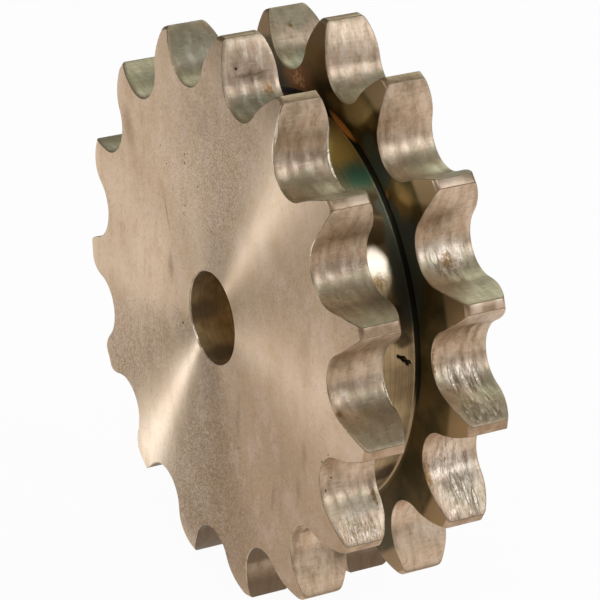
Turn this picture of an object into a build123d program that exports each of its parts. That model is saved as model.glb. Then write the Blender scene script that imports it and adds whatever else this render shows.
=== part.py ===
# Duplex chain sprocket, plate-wheel type: two rows of teeth and the core between them in one
# piece of steel, with a plain pilot bore and no hub.
#
# Millimetres. The bore runs along Y, the origin is on its axis half-way between the rows, the
# front face looks towards -Y, and each row has a tooth pointing straight up (+Z).

import os
from math import degrees, pi, sin, sqrt, tan

from build123d import *

# The chain: 3/4 x 7/16 inch, two strands
pitch = 19.05
roller_diameter = 12.07
strand_spacing = 19.46      # middle of one row to middle of the other
plate_height = 16.13        # inner link plate, which runs down into the groove

# The teeth
teeth = 15
tooth_width = 10.5          # along the bore, at the roots
tooth_height = 5.1          # from the pitch polygon to the tip
seat_clearance = 0.06       # roller seat radius over roller radius
seat_angle = 128.0          # arc of the seat round the roller
flank_radius = 23.5
relief_depth = 1.75         # how far each side of a tooth has fallen back at its tip
relief_radius = 14.0
tip_edge_radius = 0.8

# The core and the bore
plate_clearance = 1.2       # under the link plates
groove_corner_radius = 0.9
bore_diameter = 16.0
bore_edge_break = 0.3

# A gouge that some tool left in the core
gouge_length = 3.3
gouge_width = 0.8
gouge_depth = 0.5
gouge_angle = 85.0          # round the bore, from the tooth that points up towards +X
gouge_offset = 1.7          # from the middle of the groove, towards the rear row
gouge_tilt = 36.0           # its rear end lies lower
gouge_side_lean = 35.0

# Derived sizes
pitch_radius = pitch / (2 * sin(pi / teeth))
polygon_radius = pitch / (2 * tan(pi / teeth))
tip_radius = polygon_radius + tooth_height
seat_radius = roller_diameter / 2 + seat_clearance
root_radius = pitch_radius - seat_radius
tooth_depth = tip_radius - root_radius
relief_height = sqrt(relief_depth * (2 * relief_radius - relief_depth))
core_radius = polygon_radius - plate_height / 2 - plate_clearance
bore_radius = bore_diameter / 2
groove_width = strand_spacing - tooth_width
total_width = strand_spacing + tooth_width

# Section of one row from the bore axis out (X is the radius, Y runs along the bore): flat
# sides that curve in towards a narrow land at the tip
with BuildSketch(Plane.XY) as row_section:
    with BuildLine() as side:
        face_edge = (tip_radius - relief_height, tooth_width / 2)
        land_edge = (tip_radius, tooth_width / 2 - relief_depth)
        Polyline((0, 0), (0, tooth_width / 2), face_edge)
        TangentArc(face_edge, land_edge, tangent=(1, 0))
        Line(land_edge, (tip_radius, 0))
        mirror(about=Plane.XZ)
    make_face()
    land_corners = row_section.vertices().group_by(Axis.X)[-1]
    fillet(land_corners, tip_edge_radius)

# Space between two teeth, with the roller's centre at the origin and the tips towards +X: the
# seat round the roller, then a convex flank on each side that runs out past the tip
with BuildSketch(Plane.XY) as tooth_gap:
    with BuildLine() as gap_outline:
        seat = CenterArc((0, 0), seat_radius, 180, -seat_angle / 2)
        flank = JernArc(seat @ 1, seat % 1, flank_radius, degrees(tooth_depth / flank_radius))
        Polyline(flank @ 1, (tooth_depth, (flank @ 1).Y), (tooth_depth, 0))
        mirror(about=Plane.XZ)
    make_face()

with BuildPart() as sprocket:
    # Turned blank: both rows, the core in the groove between them, and the bore
    with BuildSketch(Plane.XY) as blank_section:
        with Locations((0, -strand_spacing / 2), (0, strand_spacing / 2)):
            add(row_section.sketch)
        with Locations((core_radius / 2, 0)):
            Rectangle(core_radius, groove_width)
        nearest_corners = blank_section.vertices().sort_by_distance((core_radius, 0))
        groove_corners = nearest_corners[:2]
        fillet(groove_corners, groove_corner_radius)
        with Locations((bore_radius / 2, 0)):
            Rectangle(bore_radius, total_width, mode=Mode.SUBTRACT)
        mouth_corners = blank_section.vertices().group_by(Axis.X)[0]
        chamfer(mouth_corners, bore_edge_break)
    revolve(axis=Axis.Y)

    # The teeth, hobbed through both rows in one pass
    with BuildSketch(Plane.XZ) as tooth_gaps:
        with PolarLocations(pitch_radius, teeth, start_angle=90 + 180 / teeth):
            add(tooth_gap.sketch)
    extrude(amount=total_width, both=True, mode=Mode.SUBTRACT)

    # The gouge, cut square to the core's surface with leaning sides
    outward = Vector(0, 0, 1).rotate(Axis.Y, gouge_angle)
    gouge_middle = outward * core_radius + Vector(0, gouge_offset, 0)
    with BuildSketch(Plane(origin=gouge_middle, x_dir=(0, 1, 0), z_dir=outward)):
        SlotOverall(gouge_length, gouge_width, rotation=-gouge_tilt)
    extrude(amount=-gouge_depth, taper=gouge_side_lean, mode=Mode.SUBTRACT)

sprocket.part.label = "sprocket"
os.makedirs("parts", exist_ok=True)
export_step(sprocket.part, "parts/sprocket.step")
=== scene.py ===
# A duplex chain sprocket in bare steel, standing on its teeth on a pale floor.
# Lengths in the dictionaries are millimetres and angles are degrees; the meshes are in metres.

from math import acos, atan2, copysign, cos, degrees, hypot, pi, radians, sin, sqrt, tan

import bmesh
import bpy
from mathutils import Matrix, Quaternion, Vector, noise


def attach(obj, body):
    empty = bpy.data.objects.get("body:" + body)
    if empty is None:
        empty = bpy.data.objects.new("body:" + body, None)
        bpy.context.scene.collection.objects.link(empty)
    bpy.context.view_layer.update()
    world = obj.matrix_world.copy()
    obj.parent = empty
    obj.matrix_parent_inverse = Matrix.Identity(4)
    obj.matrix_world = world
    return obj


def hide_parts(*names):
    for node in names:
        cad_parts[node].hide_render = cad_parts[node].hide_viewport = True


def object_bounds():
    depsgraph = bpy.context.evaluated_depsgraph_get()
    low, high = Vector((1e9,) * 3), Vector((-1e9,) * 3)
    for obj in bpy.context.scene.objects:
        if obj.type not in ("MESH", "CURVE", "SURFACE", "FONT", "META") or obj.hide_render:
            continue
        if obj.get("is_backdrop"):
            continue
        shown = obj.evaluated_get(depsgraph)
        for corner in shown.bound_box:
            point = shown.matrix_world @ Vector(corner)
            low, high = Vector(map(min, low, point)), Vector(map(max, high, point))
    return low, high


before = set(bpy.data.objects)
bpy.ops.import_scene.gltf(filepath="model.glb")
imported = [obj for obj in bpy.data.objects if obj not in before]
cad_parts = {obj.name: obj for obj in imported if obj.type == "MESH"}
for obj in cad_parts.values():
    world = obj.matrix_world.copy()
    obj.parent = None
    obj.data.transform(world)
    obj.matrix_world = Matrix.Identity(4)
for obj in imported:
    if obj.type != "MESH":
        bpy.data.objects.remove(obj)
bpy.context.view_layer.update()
print("frame loaded")

mm = 0.001
boreAxis = Vector((0, 1, 0))
middle = Vector((0, 0, 0))
touching = 1e-3  # points nearer than this are one
onPlane = 1e-4  # and a point this near a cutting plane lies on it


def towards(azimuth, elevation):
    # azimuth 0 is in front of the wheel, 90 on its right
    a, e = radians(azimuth), radians(elevation)
    return Vector((sin(a) * cos(e), -cos(a) * cos(e), sin(e)))


def everything(bm):
    return bm.verts[:] + bm.edges[:] + bm.faces[:]


def onlyVerts(geometry):
    return [g for g in geometry if isinstance(g, bmesh.types.BMVert)]


def radius(point):
    # distance from the bore's axis
    return hypot(point.x, point.z)


def clock(point):
    # degrees round the bore, clockwise from straight up as seen from the front
    return degrees(atan2(point.x, point.z))


wheel = {
    "teeth": 15,
    "pitch": 19.05,
    "seatRadius": 6.095,
    "seatAngle": 64,  # half the arc round the roller
    "seatSteps": 14,
    "flankRadius": 23.5,
    "flankSteps": 9,
    "toothHeight": 5.1,  # above the pitch polygon
    "toothWidth": 10.5,
    "rowSpacing": 19.46,
    "reliefDepth": 1.75,
    "reliefRadius": 14.0,
    "reliefSteps": 9,
    "tipRounding": 0.6,
    "tipRoundingSteps": 5,
    "edgeBreak": 0.11,
    "edgeBreakSteps": 2,
    "smallestEdge": 0.01,  # a tooth's points are joined where they are nearer than this
    "coreRadius": 35.545,
    "grooveCorner": 0.9,
    "grooveCornerSteps": 5,
    "boreRadius": 8.0,
    "boreChamfer": 0.3,
    "ringStep": 3,  # degrees between the vertices of a turned ring
    "hobFeed": 2.3,  # the hob moves this far along the bore in each turn of the wheel
    "hobDepth": 0.04,
    "hobWaver": 0.045,  # how far the facets between the cuts stand in and out
    "hobFacet": 2.1,
    "deepCuts": {(1, 3): 5.2, (1, 2): 2.2, (1, 4): 2.6, (-1, 4): 2.0},  # row and gap: times as deep
    "hobCuts": 20,
    "hobbedBand": 4.4,  # how far from the middle of a row the scallops are cut
    "hobFade": (3.0, 6.5),  # heights above the root between which they die out
    "gougeClock": 85.0,
    "gougeAlong": 1.7,
    "gougeLength": 3.3,
    "gougeWidth": 0.8,
    "gougeDepth": 0.5,
    "gougeTilt": 36,  # its rear end lies lower
    "gougeLean": 35,
    "gougeSpread": 0.08,  # how fast it widens towards its lower end
    "gougeRagged": 0.2,  # how far its outline wanders
    "gougeRaggedRate": 1.3,  # how often in a millimetre
    "gougeShrink": 0.03,  # how much smaller it is all round
    "gougeGrid": 0.16,
    "gougeGridMargin": 0.2,
    "gougeGridHeight": 0.1,  # the grid is cut into faces no higher above the core than this
    "gougeGridSector": 6,  # and this near the gouge
}

finishes = ["turnedFace", "hobbedTooth", "turnedTip", "groove", "bore", "brokenEdge", "cut"]
finish = {name: index for index, name in enumerate(finishes)}


def halfOutline(w):
    # from the middle of a gap to the middle of a tooth, and back inside along the core
    halfPitch = pi / w["teeth"]
    pitchRadius = w["pitch"] / 2 / sin(halfPitch)
    tipRadius = w["pitch"] / 2 / tan(halfPitch) + w["toothHeight"]
    gapLine = Vector((sin(halfPitch), 0, cos(halfPitch)))
    roller = gapLine * pitchRadius
    bm = bmesh.new()
    root = bm.verts.new(gapLine * (pitchRadius - w["seatRadius"]))
    seat = bmesh.ops.spin(bm, geom=[root], cent=roller, axis=boreAxis, dvec=middle,
                          angle=radians(w["seatAngle"]), steps=w["seatSteps"])
    seatEnd = onlyVerts(seat["geom_last"])[0]
    flankCentre = roller + (seatEnd.co - roller) * (1 + w["flankRadius"] / w["seatRadius"])

    def turnAt(reach):
        # angle at the flank's centre between the bore's axis and the flank's point at this radius
        a, b = flankCentre.length, w["flankRadius"]
        return acos((a**2 + b**2 - reach**2) / (2 * a * b))

    flank = bmesh.ops.spin(bm, geom=[seatEnd], cent=flankCentre, axis=boreAxis, dvec=middle,
                           angle=turnAt(seatEnd.co.length) - turnAt(tipRadius),
                           steps=w["flankSteps"])
    land = bmesh.ops.extrude_vert_indiv(bm, verts=[onlyVerts(flank["geom_last"])[0]])
    land["verts"][0].co = (0, 0, tipRadius)
    inner = bmesh.ops.extrude_vert_indiv(bm, verts=[root])["verts"][0]
    inner.co = gapLine * (w["coreRadius"] + w["grooveCorner"])
    bmesh.ops.spin(bm, geom=[inner], cent=middle, axis=boreAxis, dvec=middle,
                   angle=-halfPitch, steps=round(180 / w["teeth"] / w["ringStep"]))
    return bm, root.co.length, tipRadius


def facesOf(edge):
    return {face.material_index for face in edge.link_faces}


def nameSides(bm, rootRadius, tipRadius):
    # which finish each side of the straight tooth gets
    slack = 0.01
    landDip = 0.05  # the land is flat, so its middle lies a little inside the circle of the tips
    for face in bm.faces:
        reach = radius(face.calc_center_median())
        if abs(face.normal.y) > 0.5:
            face.material_index = finish["turnedFace"]
        elif reach < rootRadius - slack:
            face.material_index = finish["cut"]
        elif reach > tipRadius - landDip:
            face.material_index = finish["turnedTip"]
        else:
            face.material_index = finish["hobbedTooth"]


def breakEdges(bm, edges, offset, segments, name):
    cut = bmesh.ops.bevel(bm, geom=edges, offset=offset, offset_type="OFFSET", affect="EDGES",
                          segments=segments, profile=0.5, material=-1)
    for face in cut["faces"]:
        face.material_index = finish[name]


def toothRow(w):
    # one tooth with straight sides, its edges broken, its sides relieved, then all round
    bm, rootRadius, tipRadius = halfOutline(w)
    bmesh.ops.mirror(bm, geom=bm.verts[:] + bm.edges[:], matrix=Matrix(), merge_dist=touching, axis="X")
    side = bmesh.ops.contextual_create(bm, geom=bm.edges[:])["faces"]
    bmesh.ops.translate(bm, verts=bm.verts[:], vec=-boreAxis * w["toothWidth"] / 2)
    grown = bmesh.ops.extrude_face_region(bm, geom=side)["geom"]
    bmesh.ops.translate(bm, verts=onlyVerts(grown), vec=boreAxis * w["toothWidth"])
    bmesh.ops.recalc_face_normals(bm, faces=bm.faces[:])
    nameSides(bm, rootRadius, tipRadius)
    face, tip, hobbed = finish["turnedFace"], finish["turnedTip"], finish["hobbedTooth"]
    breakEdges(bm, [e for e in bm.edges if facesOf(e) == {face, tip}],
               w["tipRounding"], w["tipRoundingSteps"], "turnedTip")
    breakEdges(bm, [e for e in bm.edges if hobbed in facesOf(e) and facesOf(e) & {face, tip}],
               w["edgeBreak"], w["edgeBreakSteps"], "brokenEdge")
    bmesh.ops.delete(bm, geom=[f for f in bm.faces if f.material_index == finish["cut"]],
                     context="FACES")

    # both sides fall back towards the tip along an arc
    reliefTurn = acos(1 - w["reliefDepth"] / w["reliefRadius"])
    reliefStart = tipRadius - w["reliefRadius"] * sin(reliefTurn)
    for step in range(w["reliefSteps"]):
        height = reliefStart + w["reliefRadius"] * sin(reliefTurn * step / w["reliefSteps"])
        bmesh.ops.bisect_plane(bm, geom=everything(bm), dist=onPlane,
                               plane_co=(0, 0, height), plane_no=(0, 0, 1))
    for cut in range(w["hobCuts"] + 1):
        along = w["hobbedBand"] * (2 * cut / w["hobCuts"] - 1)
        bmesh.ops.bisect_plane(bm, geom=everything(bm), dist=onPlane,
                               plane_co=(0, along, 0), plane_no=boreAxis)
    for vertex in bm.verts:
        rise = max(0, min(radius(vertex.co), tipRadius) - reliefStart)
        fall = w["reliefRadius"] - sqrt(w["reliefRadius"]**2 - rise**2)
        vertex.co.y *= 1 - fall / (w["toothWidth"] / 2)

    bmesh.ops.remove_doubles(bm, verts=bm.verts[:], dist=w["smallestEdge"])
    turn = 2 * pi / w["teeth"]
    bmesh.ops.spin(bm, geom=everything(bm), cent=middle, axis=boreAxis, dvec=middle,
                   angle=turn * (w["teeth"] - 1), steps=w["teeth"] - 1, use_duplicate=True)
    bmesh.ops.remove_doubles(bm, verts=bm.verts[:], dist=touching)
    return bm, rootRadius


def turnedRing(profile, w, name):
    # profile: (radius, along the bore) from point to point
    bm = bmesh.new()
    points = [bm.verts.new((0, along, reach)) for reach, along in profile]
    lines = [bm.edges.new(pair) for pair in zip(points, points[1:])]
    bmesh.ops.spin(bm, geom=points + lines, cent=middle, axis=boreAxis, dvec=middle,
                   angle=2 * pi, steps=round(360 / w["ringStep"]), use_merge=True)
    for face in bm.faces:
        face.material_index = finish[name]
    ring = bpy.data.meshes.new(name)
    bm.to_mesh(ring)
    bm.free()
    return ring


def hobScallops(bm, w, rootRadius):
    # shallow hollows side by side along the bore, each gap a little further on than the last
    bm.normal_update()
    fullTo, goneBy = w["hobFade"]
    for vertex in bm.verts:
        if {face.material_index for face in vertex.link_faces} != {finish["hobbedTooth"]}:
            continue
        row = copysign(w["rowSpacing"] / 2, vertex.co.y)
        if abs(vertex.co.y - row) > w["hobbedBand"] - w["smallestEdge"]:
            continue
        gap = round(clock(vertex.co) * w["teeth"] / 360 - 0.5)
        height = radius(vertex.co) - rootRadius
        fade = min(1, max(0, (goneBy - height) / (goneBy - fullTo)))
        share = (vertex.co.y / w["hobFeed"] + gap / w["teeth"]) % 1
        usual = 1 + noise.noise((1.7 * gap, row, 0.5))  # no two gaps alike
        deeper = w["deepCuts"].get((round(copysign(1, row)), gap), usual)
        depth = w["hobDepth"] * deeper * (1 - (2 * share - 1)**2)
        waver = w["hobWaver"] * (1 + noise.noise(vertex.co / w["hobFacet"]))
        vertex.co -= vertex.normal * fade * (depth + waver)


def gougeCore(bm, w):
    # a fine grid on the core, pushed in where a tool slipped
    grid, reach = w["gougeGrid"], w["gougeLength"] / 2 + w["gougeGridMargin"]
    cuts = range(-round(reach / grid), round(reach / grid) + 1)
    near = [f for f in bm.faces if f.material_index == finish["groove"]
            and radius(f.calc_center_median()) < w["coreRadius"] + w["gougeGridHeight"]
            and abs(clock(f.calc_center_median()) - w["gougeClock"]) < w["gougeGridSector"]]
    edges = [e for f in near for e in f.edges]
    verts = [v for f in near for v in f.verts]
    patch = list(dict.fromkeys(near + edges + verts))  # each once, and always in the same order
    for cut in cuts:
        patch = bmesh.ops.bisect_plane(bm, geom=patch, dist=onPlane, plane_no=boreAxis,
                                       plane_co=(0, w["gougeAlong"] + cut * grid, 0))["geom"]
    for cut in cuts:
        turn = radians(w["gougeClock"]) + cut * grid / w["coreRadius"]
        patch = bmesh.ops.bisect_plane(bm, geom=patch, dist=onPlane, plane_co=middle,
                                       plane_no=(cos(turn), 0, -sin(turn)))["geom"]
    tilt, half = radians(w["gougeTilt"]), w["gougeWidth"] / 2
    for vertex in onlyVerts(patch):
        along = vertex.co.y - w["gougeAlong"]
        downwards = radians(clock(vertex.co) - w["gougeClock"]) * w["coreRadius"]
        lengthwise = along * cos(tilt) + downwards * sin(tilt)
        across = downwards * cos(tilt) - along * sin(tilt)
        off = hypot(max(0, abs(lengthwise) - w["gougeLength"] / 2 + half), across)
        wander = w["gougeRagged"] * noise.noise(vertex.co * w["gougeRaggedRate"])
        inside = half - off + wander + w["gougeSpread"] * lengthwise - w["gougeShrink"]
        depth = min(w["gougeDepth"], inside / tan(radians(w["gougeLean"])))
        if depth > 0:
            vertex.co *= 1 - depth / radius(vertex.co)
            vertex.co.y = w["gougeAlong"] + along


def buildWheel(w):
    bm, rootRadius = toothRow(w)
    half, step = w["toothWidth"] / 2, w["rowSpacing"] / 2
    bmesh.ops.translate(bm, verts=bm.verts[:], vec=-boreAxis * step)
    copied = bmesh.ops.duplicate(bm, geom=everything(bm))["geom"]
    bmesh.ops.translate(bm, verts=onlyVerts(copied), vec=boreAxis * 2 * step)
    for face in bm.faces:
        if face.material_index == finish["turnedFace"] and abs(face.calc_center_median().y) < step:
            face.material_index = finish["groove"]
    print("two rows of teeth:", len(bm.faces), "faces")

    outside, inside = step + half, step - half
    ringRadius = w["coreRadius"] + w["grooveCorner"]
    mouth = w["boreRadius"] + w["boreChamfer"]
    wall = outside - w["boreChamfer"]
    rings = [turnedRing([(w["boreRadius"], -wall), (w["boreRadius"], wall)], w, "bore")]
    for side in (-1, 1):
        faceRing = [(ringRadius, side * outside), (mouth, side * outside)]
        mouthRing = [(mouth, side * outside), (w["boreRadius"], side * wall)]
        rings.append(turnedRing(faceRing, w, "turnedFace"))
        rings.append(turnedRing(mouthRing, w, "brokenEdge"))
    corner = [radians(90 * turn / w["grooveCornerSteps"]) for turn in range(w["grooveCornerSteps"] + 1)]
    rounded = [(ringRadius - w["grooveCorner"] * sin(a), inside - w["grooveCorner"] * (1 - cos(a)))
               for a in corner]
    rings.append(turnedRing([(r, -y) for r, y in rounded] + rounded[::-1], w, "groove"))
    for ring in rings:
        bm.from_mesh(ring)
        bpy.data.meshes.remove(ring)
    bmesh.ops.remove_doubles(bm, verts=bm.verts[:], dist=touching)
    bmesh.ops.recalc_face_normals(bm, faces=bm.faces[:])
    hobScallops(bm, w, rootRadius)
    gougeCore(bm, w)
    bmesh.ops.scale(bm, verts=bm.verts[:], vec=(mm, mm, mm))
    print("wheel closed:", all(edge.is_manifold for edge in bm.edges),
          "volume", round(bm.calc_volume(signed=True) / mm**3), "cubic mm")
    return bm


def linear(hexColour):
    # sRGB hex to the linear colour that the shaders use
    parts = [int(hexColour[i:i + 2], 16) / 255 for i in (0, 2, 4)]
    return tuple(c / 12.92 if c <= 0.04045 else ((c + 0.055) / 1.055)**2.4 for c in parts) + (1,)


def addNode(tree, kind, settings, output=0):
    # each setting is the node's own, or a socket's value, or what feeds the socket
    node = tree.nodes.new("ShaderNode" + kind)
    for name, value in settings.items():
        if isinstance(name, str) and hasattr(node, name):
            setattr(node, name, value)
        elif isinstance(value, bpy.types.NodeSocket):
            tree.links.new(value, node.inputs[name])
        else:
            node.inputs[name].default_value = value
    if node.outputs:
        return node.outputs[output]


def newMaterial(name):
    material = bpy.data.materials.new(name)
    material.use_nodes = True
    material.node_tree.nodes.clear()
    return material, material.node_tree


def onWheel(tree):
    # where a point is: its place, its direction from the bore, its distances from the bore and
    # along it, its height and how much it faces upwards
    place = addNode(tree, "TexCoord", {}, "Object")
    normal = addNode(tree, "TexCoord", {}, "Normal")
    outwards = addNode(tree, "VectorMath", {"operation": "MULTIPLY", 0: place, 1: (1, 0, 1)})
    return {
        "place": place,
        "outwards": outwards,
        "reach": addNode(tree, "VectorMath", {"operation": "LENGTH", 0: outwards}, "Value"),
        "along": addNode(tree, "SeparateXYZ", {0: place}, "Y"),
        "height": addNode(tree, "SeparateXYZ", {0: place}, "Z"),
        "upwards": addNode(tree, "SeparateXYZ", {0: normal}, "Z"),
    }


def grain(tree, place, size, stretch=(1, 1, 1), detail=3, roughness=0.55):
    # noise whose blobs are about this many millimetres across
    scaled = addNode(tree, "Mapping", {"Vector": place, "Scale": [1 / (size * mm * s) for s in stretch]})
    return addNode(tree, "TexNoise", {"Vector": scaled, "Scale": 1.0, "Detail": detail,
                                      "Roughness": roughness})


def unevenly(tree, place, size, amount):
    # the place pushed about, so that a mark drawn on it gets a ragged outline
    push = addNode(tree, "TexNoise", {"Vector": place, "Scale": 1 / (size * mm), "Detail": 3.0}, "Color")
    centred = addNode(tree, "VectorMath", {"operation": "SUBTRACT", 0: push, 1: (0.5, 0.5, 0.5)})
    short = addNode(tree, "VectorMath", {"operation": "SCALE", 0: centred, "Scale": amount * mm})
    return addNode(tree, "VectorMath", {"operation": "ADD", 0: place, 1: short})


def patches(tree, place, rows):
    # how far inside the nearest of some oval marks a point is, from 1 in the middle to 0 at the
    # edge; each row is the middle's x, y, z, the half sizes along them and a turn about the bore
    nearest = None
    for x, y, z, wide, deep, high, turn in rows:
        local = addNode(tree, "Mapping", {"vector_type": "TEXTURE", "Vector": place,
                                          "Location": (x * mm, y * mm, z * mm),
                                          "Rotation": (0, radians(turn), 0),
                                          "Scale": (wide * mm, deep * mm, high * mm)})
        off = addNode(tree, "VectorMath", {"operation": "LENGTH", 0: local}, "Value")
        if nearest:
            off = addNode(tree, "Math", {"operation": "MINIMUM", 0: off, 1: nearest})
        nearest = off
    return addNode(tree, "Math", {"operation": "SUBTRACT", 0: 1.0, 1: nearest})


def addPatterns(tree, look, found):
    # gives each pattern that a look names to found, where stains and relief look it up:
    # grains are noise, turnedLines are lines across a distance with their spacing, marks are
    # ovals grouped by the size and the depth of the wavering of their outlines, ramps run
    # between two values of a pattern and pairs show where both of two patterns do
    place = found["place"]
    for name, shape in look["grains"].items():
        found[name] = grain(tree, place, **shape)
    for name, (distance, spacing) in look.get("turnedLines", {}).items():
        found[name] = addNode(tree, "TexNoise", {"noise_dimensions": "1D", "W": found[distance],
                                                 "Scale": 1 / (spacing * mm)})
    for (size, amount), marks in look.get("marks", {}).items():
        where = unevenly(tree, place, size, amount) if amount else place
        for name, ovals in marks.items():
            found[name] = patches(tree, where, ovals)
    for name, (source, low, high, least, most) in look.get("ramps", {}).items():
        found[name] = addNode(tree, "MapRange", {"Value": found[source], "From Min": low,
                                                 "From Max": high, "To Min": least, "To Max": most})
    for name, (one, other) in look.get("pairs", {}).items():
        found[name] = addNode(tree, "Math", {"operation": "MULTIPLY", 0: found[one], 1: found[other]})


def stained(tree, colour, stains, found):
    # each stain covers the colour more as its pattern goes from low to high, up to its strength
    for pattern, low, high, strength, stain in stains:
        share = addNode(tree, "MapRange", {"interpolation_type": "SMOOTHSTEP", "Value": found[pattern],
                                           "From Min": low, "From Max": high, "To Max": strength})
        colour = addNode(tree, "Mix", {"data_type": "RGBA", 0: share, 6: colour, 7: linear(stain)}, 2)
    return colour


def steel(tree, colour, roughness, relief, found, anisotropic=0.0, tangent=None):
    # relief: patterns, each with its depth in millimetres
    normal = None
    for pattern, depth in relief:
        bump = {"Height": found[pattern], "Strength": 1.0, "Distance": depth * mm}
        if normal:
            bump["Normal"] = normal
        normal = addNode(tree, "Bump", bump)
    settings = {"Base Color": colour, "Roughness": roughness, "Normal": normal, "Metallic": 1.0,
                "Anisotropic": anisotropic}
    if tangent:
        settings["Tangent"] = tangent
    addNode(tree, "OutputMaterial", {"Surface": addNode(tree, "BsdfPrincipled", settings)})


def plainSteel(name, look):
    # a steel whose look is all in its stains and its relief
    material, tree = newMaterial(name)
    found = onWheel(tree)
    addPatterns(tree, look, found)
    colour = stained(tree, linear(look["colour"]), look["stains"], found)
    steel(tree, colour, look["roughness"], look["relief"], found)
    return material


# In every look below, a stain is its pattern, where it starts and where it is full, its strength
# and its colour. A mark is the x, y, z of its middle, its half sizes along them and its turn
# about the bore. A ramp is its pattern, from where to where it runs, and its value at each end.

faceLook = {
    "colour": "e6ccb0",
    "grains": {
        "clouds": {"size": 17, "detail": 4},
        "blush": {"size": 5, "stretch": (1, 1, 1.4), "detail": 5, "roughness": 0.6},
        "speckle": {"size": 0.8, "detail": 4, "roughness": 0.7},
        "trails": {"size": 2.4, "stretch": (1, 1, 5)},
        "finest": {"size": 0.28, "detail": 2},
    },
    "turnedLines": {"rings": ("reach", 0.35)},
    # which way from the bore each sector of painted shade lies
    "shadedSectors": {"right": (0.87, 0, 0.49), "above": (-0.2, 0, 0.98), "lowRight": (0.62, 0, -0.785)},
    "shadedSectorWaver": (14, 9),  # size and depth of the wavering of their sides
    "pinholeSpacing": 1.3,
    "pinholeSize": 0.16,  # as a share of the spacing, where they are largest
    "marks": {
        (0, 0): {
            "pits": [
                (-9.8, -15, 24.7, 0.30, 1, 0.30, 0),
                (-9.7, -15, 17.0, 0.28, 1, 0.28, 0),
                (-9.8, -15, 26.3, 0.24, 1, 0.24, 0),
                (-5.0, -15, 22.1, 0.26, 1, 0.26, 0),
                (-16.5, -15, 22.3, 0.22, 1, 0.22, 0),
                (-18.7, -15, 24.9, 0.20, 1, 0.20, 0),
                (-10.6, -15, -5.0, 0.34, 1, 0.34, 0),
                (9.6, -15, -20.3, 0.24, 1, 0.30, 0),
                (40.3, -15, -8.4, 0.26, 1, 0.26, 0),
                (38.3, -15, -10.5, 0.30, 1, 0.30, 0),
            ],
            "line": [(-16.6, -15, 13.5, 0.28, 1, 6.3, -20)],
        },
        (1.6, 0.9): {
            "pitted": [
                (-10.0, -15, 25.6, 4.6, 1, 4.2, 0),
                (-10.5, -15, 15.0, 3.6, 1, 6.5, -15),
            ],
            "smudges": [
                (32.4, -15, -11.8, 1.5, 1, 4.0, 0),
                (30.5, -15, -19.0, 1.2, 1, 3.0, 0),
                (31.4, -15, -28.7, 2.2, 1, 3.2, 20),
                (9.5, -15, -14.5, 1.0, 1, 6.5, 4),
                (-15.1, -15, 3.8, 1.6, 1, 4.6, -5),
                (22.0, -15, -24.0, 1.0, 1, 4.5, 8),
                (-31.0, -15, 24.0, 3.0, 1, 6.0, -20),
            ],
        },
        (14, 9): {
            "browned": [
                (22.0, -15, 18.5, 7, 1, 9, 45),
                (33.0, -15, 7.0, 6, 1, 12, 15),
                (-3.0, -15, 36.0, 10, 1, 6, 0),
                (7.0, -15, -18.0, 6, 1, 6, 0),
                (16.0, -15, -32.0, 8, 1, 6, 0),
            ],
        },
    },
    "ramps": {"roughness": ("finest", 0.35, 0.65, 0.32, 0.50)},
    "stains": [
        ("clouds", 0.38, 0.66, 0.5, "caad8f"),
        # painted shade: three sectors of the face darker and browner, where less light falls on it
        ("right", 0.86, 1.0, 0.35, "9f7f5d"),
        ("above", 0.3, 1.0, 0.45, "a28460"),
        ("lowRight", 0.52, 1.0, 0.85, "9f7f5d"),
        ("reach", 21 * mm, 9 * mm, 0.4, "b09a80"),
        ("browned", 0.0, 0.9, 0.3, "967a5c"),
        ("blush", 0.48, 0.66, 0.16, "ebcfc4"),
        ("blush", 0.50, 0.36, 0.22, "b89468"),
        ("trails", 0.54, 0.80, 0.2, "8d7354"),
        ("speckle", 0.50, 0.74, 0.24, "8a6d50"),
        ("smudges", 0.0, 0.9, 0.42, "7d6347"),
        ("line", 0.0, 0.8, 0.55, "7d6347"),
        ("pits", 0.0, 0.5, 0.85, "3a2c20"),
        ("pinholes", -0.03, 0.03, 0.7, "54412e"),
    ],
    # the first is a steady slope towards the bore, as the tool's marks all lean the same way
    "relief": [("reach", 0.2 / mm), ("rings", 0.0015), ("speckle", 0.002)],
    "anisotropic": 0.97,
}


def turnedFace(look):
    # faced on a lathe: pale, with painted shade in three sectors, browner near the bore, and with rings
    # too fine to see that draw the light out into a streak
    material, tree = newMaterial("facedSteel")
    found = onWheel(tree)
    addPatterns(tree, look, found)
    uneven = unevenly(tree, found["place"], *look["shadedSectorWaver"])
    flat = addNode(tree, "VectorMath", {"operation": "MULTIPLY", 0: uneven, 1: (1, 0, 1)})
    way = addNode(tree, "VectorMath", {"operation": "NORMALIZE", 0: flat})
    for name, direction in look["shadedSectors"].items():
        found[name] = addNode(tree, "VectorMath", {"operation": "DOT_PRODUCT", 0: way, 1: direction},
                              "Value")
    upright = addNode(tree, "Mapping", {"Vector": found["place"], "Rotation": (pi / 2, 0, 0)})
    specks = addNode(tree, "TexVoronoi", {"voronoi_dimensions": "2D", "Vector": upright,
                                          "Scale": 1 / (look["pinholeSpacing"] * mm)}, "Distance")
    closeness = addNode(tree, "Math", {"operation": "MULTIPLY", 0: found["pitted"],
                                       1: look["pinholeSize"]})
    found["pinholes"] = addNode(tree, "Math", {"operation": "SUBTRACT", 0: closeness, 1: specks})
    colour = stained(tree, linear(look["colour"]), look["stains"], found)
    steel(tree, colour, found["roughness"], look["relief"], found, look["anisotropic"],
          found["outwards"])
    return material


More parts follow.
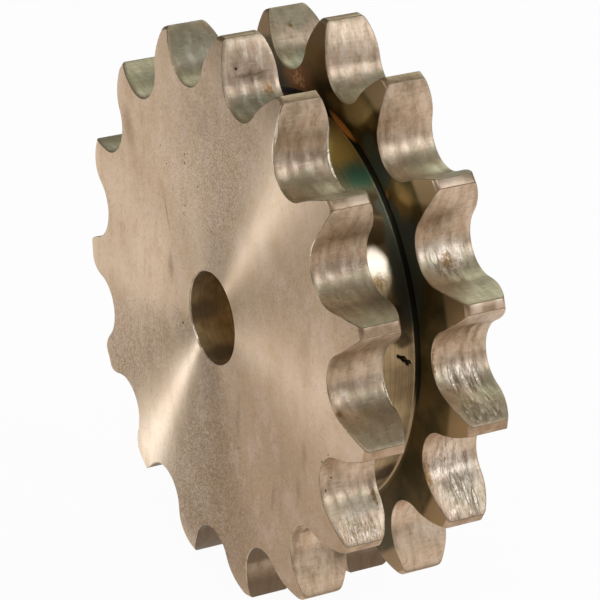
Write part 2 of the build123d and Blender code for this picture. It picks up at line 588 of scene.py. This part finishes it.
toothLook = {
    "colour": "d0b398",
    "grains": {
        "film": {"size": 4, "detail": 5, "roughness": 0.6},
        "mottle": {"size": 0.8, "detail": 4, "roughness": 0.7},
        "lines": {"size": 0.35, "stretch": (1, 9, 1), "detail": 2},
        "strokes": {"size": 1.1, "stretch": (4, 1, 4)},
        "tears": {"size": 1.1, "stretch": (2.4, 0.7, 2.4), "roughness": 0.6},
        "shreds": {"size": 0.7, "stretch": (1.6, 0.8, 1.6), "roughness": 0.6},
        "keys": {"size": 1.5, "stretch": (2.5, 1, 2.5)},
        "dashes": {"size": 0.45, "stretch": (1, 4, 1)},
        "bits": {"size": 0.6, "detail": 2},
    },
    "marks": {
        (0, 0): {
            "pits": [
                (37.4, -12.7, -14.3, 1, 0.22, 0.22, 0),
                (37.5, -13.9, -16.2, 1, 0.22, 0.34, 0),
                (3.1, -12.1, 45.2, 1, 0.36, 0.36, 0),
                (41.2, 9.4, -11.6, 1, 0.3, 0.3, 0),
            ],
            "burrHighlights": [
                (41.0, 7.6, 0.6, 3.0, 0.40, 2.2, 0),
                (41.9, 9.7, -0.2, 3.0, 0.50, 2.6, 0),
                (41.2, 12.1, 0.2, 3.0, 0.40, 2.0, 0),
                (40.2, 9.3, -19.5, 3.0, 0.45, 2.4, 0),
                (41.0, 10.8, -20.6, 3.0, 0.40, 2.4, 0),
                (42.3, 12.1, -22.0, 3.0, 0.40, 2.2, 0),
                (34.6, 7.5, 19.6, 1.6, 0.8, 1.2, 0),
                (21.2, -4.6, 38.0, 1.5, 0.50, 3.0, 0),
                (22.0, -4.6, 34.0, 2.6, 0.60, 3.4, -20),
                (20.9, -14.4, 41.0, 1.5, 0.35, 3.0, 0),
                (20.8, -14.95, 37.2, 1.5, 0.35, 2.5, 0),
                (40.4, -4.6, -1.0, 3.0, 0.35, 4.0, 0),
            ],
        },
        (0.7, 1.6): {
            "rusty": [
                (4.4, -6.8, 41.2, 2.6, 1.7, 3.4, 0),
                (37.8, 8.7, -16.2, 3.5, 0.5, 2.6, 0),
                (38.6, 5.0, -16.8, 5.0, 1.6, 7.5, 0),
                (39.9, 4.8, 3.5, 3.0, 0.7, 6.5, 0),
                (35.3, 9.8, 18.8, 3.0, 3.0, 2.6, 0),
                (39.4, -5.6, -18.9, 3.0, 1.0, 3.4, 0),
                (42.5, -14.4, -0.5, 1.2, 0.9, 0.9, 0),
                (-16.5, 8.8, 43.4, 3.0, 1.0, 1.2, 0),
            ],
        },
        (1.1, 1.2): {
            "torn": [
                (38.5, 9.7, -17.0, 6, 5, 7, 0),
                (41.5, -9.7, -23.8, 4, 5, 4, 0),
                (35.8, 9.7, 18.6, 3.5, 4.5, 3.0, 0),
                (41.0, 9.7, -1.5, 5, 5, 6, 0),
                (46.5, 9.7, -3.5, 4.5, 5.5, 3.5, 0),
                (42.0, 9.7, -24.0, 4.5, 5, 5, 0),
            ],
            "highlightPatches": [
                (35.5, 9.7, 19.0, 5.0, 6, 4.5, 0),
                (41.0, 9.7, -1.5, 5.0, 6, 5.5, 0),
                (39.8, -9.7, -19.4, 3.0, 6, 2.2, 0),
                (41.0, 9.7, 0.6, 3.0, 5, 2.0, 0),
                (38.5, 9.7, -18.0, 6.0, 6, 8.0, 0),
                (-16.0, 9.7, 45.2, 4.0, 6, 2.4, 0),
            ],
            "darkPatches": [
                (4.0, -9.7, 41.0, 3.0, 6, 5.0, 0),
                (2.5, -9.7, 47.0, 3.5, 6, 2.5, 0),
                (-9.5, 9.7, 40.0, 5.0, 6, 3.5, 0),
                (-29.0, -9.7, 34.5, 6.0, 6, 4.0, 0),
                (21.5, -9.7, 34.0, 4.0, 6, 4.0, 0),
                (32.5, -9.7, 19.0, 6.0, 7, 6.0, 0),
                (42.5, 9.7, 16.6, 5.5, 6, 2.8, 0),
                (40.8, -9.7, 1.5, 4.0, 6, 3.2, 0),
                (30.0, -14.0, -34.8, 2.0, 4, 1.5, 0),
            ],
            "blued": [
                (-15.0, -9.7, 42.5, 5.5, 6, 5.5, 0),
                (5.5, -9.7, 39.2, 5.0, 6, 2.6, 0),
                (-29.0, -9.7, 34.5, 6.0, 6, 4.0, 0),
                (-9.5, 9.7, 40.0, 5.0, 6, 3.5, 0),
            ],
            "smearsAndShade": [
                (41.2, 8.6, 0.4, 3.0, 0.35, 2.6, 0),
                (41.4, 10.9, 0.0, 3.0, 0.40, 2.6, 0),
                (40.8, 10.1, -20.0, 3.0, 0.35, 2.6, 0),
                (41.8, 11.4, -21.4, 3.0, 0.35, 2.4, 0),
                (28.3, -14.0, -29.0, 3.0, 1.3, 3.2, 0),
                (28.7, -12.6, -27.9, 2.0, 2.0, 0.8, 0),
                (28.6, -5.8, -33.2, 3.0, 1.7, 3.2, 0),
                (42.5, -14.3, -0.5, 1.0, 0.8, 0.8, 0),
                (3.5, -9.5, 43.9, 1.6, 5.0, 0.40, 0),
                (3.3, -9.4, 43.0, 1.6, 0.35, 2.6, 0),
            ],
        },
    },
    "ramps": {
        "tornHere": ("torn", -0.4, 0.4, 0.15, 1.0),
        "facesDown": ("upwards", 0.2, -0.2, 0.0, 1.0),
        "nearFloor": ("height", -32 * mm, -39 * mm, 0.0, 1.0),
        "burrShine": ("burrHighlights", 0.0, 0.3, 0.0, 1.0),
    },
    "pairs": {
        "deepTears": ("tears", "tornHere"),
        "deepShreds": ("shreds", "tornHere"),
        "upFacingTint": ("upwards", "film"),
        "rustDots": ("mottle", "rusty"),
        "shadedUnderside": ("facesDown", "nearFloor"),
        "glints": ("bits", "burrShine"),
    },
    "stains": [
        ("film", 0.40, 0.66, 0.55, "a89479"),
        # painted light: the teeth lighter towards the bottom
        ("height", -26 * mm, -36 * mm, 0.7, "e2c4a6"),
        # painted highlight: brighter patches where the bright bands of light fall on the flanks
        ("highlightPatches", 0.0, 0.6, 0.75, "f8e2cc"),
        # darker in some patches
        ("darkPatches", 0.0, 0.6, 0.42, "7e6450"),
        ("blued", 0.0, 0.5, 0.5, "77847c"),
        ("strokes", 0.46, 0.74, 0.26, "866a4c"),
        ("lines", 0.50, 0.76, 0.18, "7f6346"),
        ("mottle", 0.50, 0.72, 0.38, "7d6445"),
        ("keys", 0.50, 0.62, 0.25, "f6e2cc"),
        ("keys", 0.46, 0.34, 0.25, "75593b"),
        # greener where the flanks face upwards, where the film is
        ("upFacingTint", 0.20, 0.42, 0.5, "a0977a"),
        ("dashes", 0.56, 0.70, 0.18, "f6e2cc"),
        ("deepTears", 0.42, 0.60, 0.5, "6e5842"),
        ("deepShreds", 0.50, 0.66, 0.6, "fbe4d0"),
        # dark smears, partly painted shade beside the burr glints and in a fold low on one tooth
        ("smearsAndShade", 0.0, 0.7, 0.5, "6b563e"),
        ("rustDots", 0.20, 0.42, 0.75, "8a6028"),
        ("pits", 0.0, 0.5, 0.9, "2a211a"),
        # painted shade: darker where the flanks face down near the floor
        ("shadedUnderside", 0.0, 1.0, 0.88, "55402a"),
        # painted highlight: the burrs painted near white
        ("burrShine", 0.0, 1.0, 0.8, "ffeed6"),
    ],
    "relief": [("strokes", 0.03), ("lines", 0.008), ("mottle", 0.015), ("keys", 0.03),
               ("dashes", 0.008), ("deepTears", 0.15), ("deepShreds", 0.04), ("glints", 0.30)],
    "roughness": 0.5,
}


def hobbedTooth(look):
    # cut by a hob: soft strokes down each flank and faint lines along it, torn where the cut was
    # heavy, with a thin film of oil in the gaps, burrs along some edges painted bright as highlights
    # that glint in short dashes, painted highlights on some bright bands, painted light low down, and
    # painted shade where it faces the floor
    return plainSteel("hobbedSteel", look)


tipLook = {
    "colour": "bea184",
    "grains": {
        "patch": {"size": 2.5, "detail": 4},
        "nick": {"size": 0.7, "detail": 4, "roughness": 0.7},
    },
    "marks": {
        (1.6, 0.9): {
            "landHighlights": [
                (36.7, 9.0, 33.9, 3.0, 5.0, 3.0, 0),
                (36.7, -8.2, 33.9, 2.4, 3.6, 2.4, 0),
                (47.4, 8.0, 15.6, 2.0, 1.8, 3.0, 0),
                (47.4, 12.2, 15.6, 2.0, 1.6, 3.0, 0),
            ],
        },
    },
    "stains": [
        ("patch", 0.38, 0.66, 0.7, "8f7258"),
        ("nick", 0.54, 0.72, 0.4, "7d6a50"),
        # painted highlight: brighter on three tips where the light glints
        ("landHighlights", 0.1, 0.9, 0.62, "f6dcc4"),
    ],
    "relief": [("patch", 0.05), ("nick", 0.02)],
    "roughness": 0.5,
}


def turnedTip(look):
    # the outside diameter as it was turned, with painted highlights on three tips
    return plainSteel("turnedSteel", look)


grooveLook = {
    "wallColour": "55492c",
    "coreColour": "c8ab82",
    "grains": {
        "patch": {"size": 6, "detail": 4},
        "speckle": {"size": 0.6, "detail": 4, "roughness": 0.7},
    },
    "turnedLines": {"lines": ("along", 0.2)},
    "marks": {
        (0, 0): {
            "cornerOrangeHighlight": [(9.6, 4.4, 34.6, 5.6, 0.8, 0.7, 16)],
        },
        (2.5, 2.0): {
            "wallLitBronze": [
                (-1.0, 4.9, 43.5, 13, 2, 5.5, 0),
                (12.5, 4.5, 39.2, 9, 2, 4.5, 0),
                (29.5, 4.5, 27.5, 4, 2, 5.0, 45),
            ],
            "wallLitGold": [
                (18.4, 4.5, 38.6, 3.0, 2, 2.4, 0),
                (26.0, 4.5, 30.5, 3.0, 2, 4, 45),
                (6.0, 4.5, 37.8, 4, 2, 2, 0),
            ],
            "rusty": [
                (-5.3, 4.5, 37.9, 7.0, 2.4, 4.5, 0),
                (24.2, 4.4, 27.2, 0.8, 0.8, 1.2, 0),
                (26.2, 4.4, 25.2, 0.6, 0.8, 1.0, 0),
            ],
            "coreOlive": [(13.0, 0.5, 33.0, 7.5, 6.0, 6.0, 0)],
            "coreTeal": [(20.0, 1.8, 29.6, 5.0, 5.4, 4.8, 0)],
            "coreBrownAndShade": [
                (35.0, 1.7, 6.5, 2.0, 2.4, 2.0, 0),
                (27.3, 0.5, 22.9, 3.4, 5.0, 4.6, 0),
                (29.0, 2.4, -20.4, 3.6, 3.6, 3.6, 0),
                (24.2, 2.4, 26.2, 3.4, 4.5, 3.4, 0),
                (34.0, 1.5, 9.5, 2.5, 4.5, 4.5, 0),
            ],
            "shadowZone": [
                (31.0, 4.2, 16.5, 7.0, 3.7, 12.0, 0),
                (21.0, 4.7, 32.2, 6.5, 1.3, 3.4, 35),
                (26.6, 4.4, 24.6, 3.0, 2.4, 3.0, 0),
                (25.0, 4.3, 25.6, 5.0, 2.2, 1.0, 44),
            ],
            "coreLitPatch": [(30.2, -0.8, 18.6, 3.2, 3.0, 5.2, 0)],
            "coreDots": [(31.6, -0.8, 16.0, 2.5, 2.6, 3.0, 0)],
        },
    },
    "ramps": {
        "onCore": ("reach", 35.62 * mm, 35.57 * mm, 0.0, 1.0),
        "inCorner": ("reach", 36.6 * mm, 36.2 * mm, 0.0, 1.0),
        "inGouge": ("reach", 35.52 * mm, 35.38 * mm, 0.0, 1.0),
        "low": ("height", -2 * mm, -10 * mm, 0.0, 1.0),
        "roughness": ("onCore", 0.0, 1.0, 0.56, 0.44),
    },
    "pairs": {
        "dots": ("speckle", "coreDots"),
        "rustFlakeGlints": ("speckle", "rusty"),
    },
    "shineRadius": 35.68,
    "shineHalfWidth": 0.10,
    # the wall's dark colour is partly painted shade deep in the groove; painted light gives it lit
    # bronze and gold patches, and it is lighter towards the tips
    "wallStains": [
        ("patch", 0.36, 0.64, 0.8, "7c653d"),
        ("wallLitBronze", 0.0, 0.7, 0.85, "b08a50"),
        ("wallLitGold", 0.0, 0.9, 0.45, "d0aa6c"),
        ("reach", 44.8 * mm, 46.0 * mm, 0.9, "aa8a62"),
    ],
    "coreStains": [
        ("patch", 0.40, 0.66, 0.6, "8f7450"),
        ("lines", 0.48, 0.66, 0.4, "6b5233"),
        ("coreOlive", 0.0, 0.6, 0.9, "f0cc78"),
        ("coreTeal", 0.0, 0.8, 0.85, "4a8a70"),
        # brown on the core, partly painted shadow under the teeth
        ("coreBrownAndShade", 0.0, 0.6, 0.85, "4e3b25"),
    ],
    "stains": [
        # painted shade: a grey tint over the zones of the groove that lie in shadow
        ("shadowZone", 0.0, 0.4, 0.9, "6b6e62"),
        # painted light: the patch of core that the lamp lights through the gaps
        ("coreLitPatch", 0.15, 0.5, 0.85, "e6d2ba"),
        ("dots", 0.16, 0.46, 0.8, "8a6534"),
        ("rusty", 0.0, 0.6, 0.75, "c88a52"),
        # rust flakes, painted bright as glints
        ("rustFlakeGlints", 0.30, 0.46, 0.9, "ffc48a"),
        # painted shade in the rounded corner beside the core
        ("cornerShade", 0.1, 0.8, 0.92, "26251e"),
        # painted highlight: a thin bright line along the corner, low down
        ("shine", 0.0, 1.0, 0.9, "d0b08c"),
        # painted highlight: a bright orange line along the top of the corner
        ("cornerOrangeHighlight", 0.0, 0.5, 0.95, "ffb25c"),
        ("inGouge", 0.0, 1.0, 0.9, "241410"),
    ],
    "relief": [("lines", 0.010)],
    "anisotropic": 0.8,
}


def grooveSteel(look):
    # parted off deep between the rows: dark, partly from old cutting oil and partly painted shade, with
    # green and orange tints; painted light makes lit bronze and gold patches on the wall and a lit patch
    # on the core where the teeth leave it open, and painted shade darkens the zones in shadow
    material, tree = newMaterial("oiledSteel")
    found = onWheel(tree)
    addPatterns(tree, look, found)

    # painted shade darkens the rounded corner beside the core, and a thin painted highlight runs along
    # it low down
    besideCore = addNode(tree, "Math", {"operation": "SUBTRACT", 0: found["inCorner"],
                                        1: found["onCore"]})
    found["cornerShade"] = addNode(tree, "Math", {"operation": "SUBTRACT", 0: besideCore, 1: found["low"]})
    thin = addNode(tree, "Math", {"operation": "COMPARE", 0: found["reach"],
                                  1: look["shineRadius"] * mm, 2: look["shineHalfWidth"] * mm})
    found["shine"] = addNode(tree, "Math", {"operation": "MULTIPLY", 0: thin, 1: found["low"]})

    wall = stained(tree, linear(look["wallColour"]), look["wallStains"], found)
    core = stained(tree, linear(look["coreColour"]), look["coreStains"], found)
    both = addNode(tree, "Mix", {"data_type": "RGBA", 0: found["onCore"], 6: wall, 7: core}, 2)
    colour = stained(tree, both, look["stains"], found)
    radial = addNode(tree, "VectorMath", {"operation": "NORMALIZE", 0: found["outwards"]})
    acrossMarks = addNode(tree, "VectorMath", {"operation": "ADD", 0: radial, 1: (0, 1, 0)})
    steel(tree, colour, found["roughness"], look["relief"], found, look["anisotropic"], acrossMarks)
    return material


boreLook = {
    "colour": "dcc29c",
    "grains": {"patch": {"size": 3, "detail": 4}},
    "turnedLines": {"lines": ("along", 0.35)},
    "marks": {
        (2.0, 1.6): {
            "darkPatches": [
                (-7.2, -12.5, -2.0, 3.0, 5.0, 2.6, 0),
                (-2.2, -11.5, -7.8, 3.2, 6.0, 1.6, 0),
            ],
            "highlightPatches": [(-5.4, -11.0, -5.9, 1.9, 4.0, 1.5, 0)],
        },
    },
    "stains": [
        ("patch", 0.36, 0.64, 0.8, "b0986f"),
        ("darkPatches", 0.0, 0.7, 0.7, "8a7f70"),
        # painted light: a band brightened where light falls into the bore
        ("highlightPatches", 0.0, 0.7, 0.7, "dcc290"),
        ("lines", 0.50, 0.66, 0.35, "8c7850"),
    ],
    "relief": [("lines", 0.02)],
    "roughness": 0.5,
}


def boreSteel(look):
    # drilled and reamed, grey-brown, darkest in two places, with a band painted bright where light falls
    # in
    return plainSteel("reamedSteel", look)


edgeLook = {
    "colour": "c6b096",
    "grains": {
        "nick": {"size": 0.9, "detail": 4, "roughness": 0.7},
        "worn": {"size": 6},
    },
    "marks": {
        (0, 0): {
            "burrHighlights": [
                (20.8, -14.2, 41.5, 2.2, 0.8, 3.5, 0),
                (21.3, -5.3, 36.0, 2.0, 1.0, 5.0, 0),
                (40.2, -5.0, -0.5, 3.0, 0.8, 5.0, 0),
                (39.0, -5.0, -22.0, 3.5, 0.8, 5.0, 0),
                (20.5, -14.9, 36.5, 2.2, 0.6, 4.0, 0),
                (33.9, -14.9, 25.5, 2.2, 0.6, 3.0, 0),
                (-6.2, -14.9, -5.0, 1.4, 0.6, 3.0, 0),
            ],
        },
    },
    "stains": [
        ("worn", 0.42, 0.56, 0.7, "98846a"),
        ("reach", 46.2 * mm, 47.6 * mm, 0.8, "8a765e"),
        # painted highlight: burrs painted near white
        ("burrHighlights", 0.0, 0.5, 0.9, "fff1dc"),
        ("nick", 0.50, 0.68, 0.5, "5c4c3a"),
    ],
    "relief": [("nick", 0.05)],
    "roughness": 0.46,
}


def brokenEdge(look):
    # the edges are rubbed dull, with burrs here and there painted bright as highlights
    return plainSteel("burredSteel", look)


bm = buildWheel(wheel)
mesh = bpy.data.meshes.new("sprocketBody")
bm.to_mesh(mesh)
bm.free()
body = bpy.data.objects.new("sprocketBody", mesh)
bpy.context.scene.collection.objects.link(body)
mesh.shade_smooth()
for makeSteel, look in ((turnedFace, faceLook), (hobbedTooth, toothLook), (turnedTip, tipLook),
                        (grooveSteel, grooveLook), (boreSteel, boreLook), (brokenEdge, edgeLook)):
    mesh.materials.append(makeSteel(look))
body.modifiers.new("flatFacesStayFlat", "WEIGHTED_NORMAL")
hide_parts("sprocket")
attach(body, "root")
print("wheel made:", len(mesh.polygons), "faces")

stage = {
    "floorSize": 6000,
    "floorColour": "f2f0ec",
    "floorGlow": 0.96,  # share of the floor that is plain white to the camera and in reflections
    "wallColour": "4a443d",
    "ceilingColour": "6d6c62",
}

lights = {  # azimuth, elevation, distance, width, height, watts, colour
    "front": (-17, 19, 1100, 110, 110, 2.7, "e4f1ff"),
    "rightBack": (133, 29, 1000, 180, 180, 3.4, "e4f1ff"),
    "leftBack": (-140, 40, 1200, 700, 500, 3.6, "e2f6f4"),
    "overhead": (60, 62, 1200, 500, 500, 3.6, "f2f4f0"),
}

cameraPlace = {
    "azimuth": 60.79,
    "elevation": 23.45,
    "roll": 0.57,
    "distance": 620.5,
    "aim": (0.78, 1.64, 0.276),
    "lens": 217.8,
    "sensorWidth": 36,
}


def layFloor(s):
    bm = bmesh.new()
    bmesh.ops.create_grid(bm, x_segments=1, y_segments=1, size=s["floorSize"] / 2 * mm)
    bmesh.ops.translate(bm, verts=bm.verts[:], vec=(0, 0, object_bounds()[0].z))
    mesh = bpy.data.meshes.new("floor")
    bm.to_mesh(mesh)
    bm.free()
    board = bpy.data.objects.new("floor", mesh)
    bpy.context.scene.collection.objects.link(board)
    material, tree = newMaterial("paleBoard")  # matt board, plain white to the camera and in gloss
    seen = addNode(tree, "LightPath", {}, "Is Camera Ray")
    for kind in ("Is Glossy Ray", "Is Transmission Ray"):
        seen = addNode(tree, "Math", {"operation": "MAXIMUM", 0: seen,
                                      1: addNode(tree, "LightPath", {}, kind)})
    share = addNode(tree, "Math", {"operation": "MULTIPLY", 0: seen, 1: s["floorGlow"]})
    matt = addNode(tree, "BsdfDiffuse", {"Color": linear(s["floorColour"])})
    white = addNode(tree, "Emission", {"Color": linear("ffffff"), "Strength": 1.0})
    addNode(tree, "OutputMaterial",
            {"Surface": addNode(tree, "MixShader", {0: share, 1: matt, 2: white})})
    mesh.materials.append(material)
    board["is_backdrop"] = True


def hangLights(rows):
    for name, (azimuth, elevation, distance, width, height, watts, colour) in rows.items():
        data = bpy.data.lights.new(name, "AREA")
        data.shape = "RECTANGLE"
        data.size, data.size_y = width * mm, height * mm
        data.energy = watts
        data.color = linear(colour)[:3]
        lamp = bpy.data.objects.new(name, data)
        bpy.context.scene.collection.objects.link(lamp)
        lamp.location = towards(azimuth, elevation) * distance * mm
        lamp.rotation_mode = "QUATERNION"
        lamp.rotation_quaternion = (-lamp.location).to_track_quat("-Z", "Y")


def paintWorld(s):
    # a plain studio, brighter overhead than at the walls
    world = bpy.data.worlds.new("studio")
    bpy.context.scene.world = world
    world.use_nodes = True
    tree = world.node_tree
    tree.nodes.clear()
    way = addNode(tree, "TexCoord", {}, "Generated")
    up = addNode(tree, "SeparateXYZ", {0: way}, "Z")
    tone = addNode(tree, "Mix", {"data_type": "RGBA", 0: up, 6: linear(s["wallColour"]),
                                 7: linear(s["ceilingColour"])}, 2)
    sky = addNode(tree, "Background", {"Color": tone, "Strength": 1.0})
    addNode(tree, "OutputWorld", {"Surface": sky})


def placeCamera(c):
    data = bpy.data.cameras.new("camera")
    data.sensor_width = c["sensorWidth"]
    data.lens = c["lens"]
    camera = bpy.data.objects.new("camera", data)
    bpy.context.scene.collection.objects.link(camera)
    back = towards(c["azimuth"], c["elevation"])
    camera.location = (Vector(c["aim"]) + back * c["distance"]) * mm
    camera.rotation_mode = "QUATERNION"
    roll = Quaternion((0, 0, 1), radians(c["roll"]))
    camera.rotation_quaternion = (-back).to_track_quat("-Z", "Y") @ roll
    bpy.context.scene.camera = camera


layFloor(stage)
hangLights(lights)
paintWorld(stage)
placeCamera(cameraPlace)
bpy.context.scene.view_settings.view_transform = "Standard"
print("stage set")
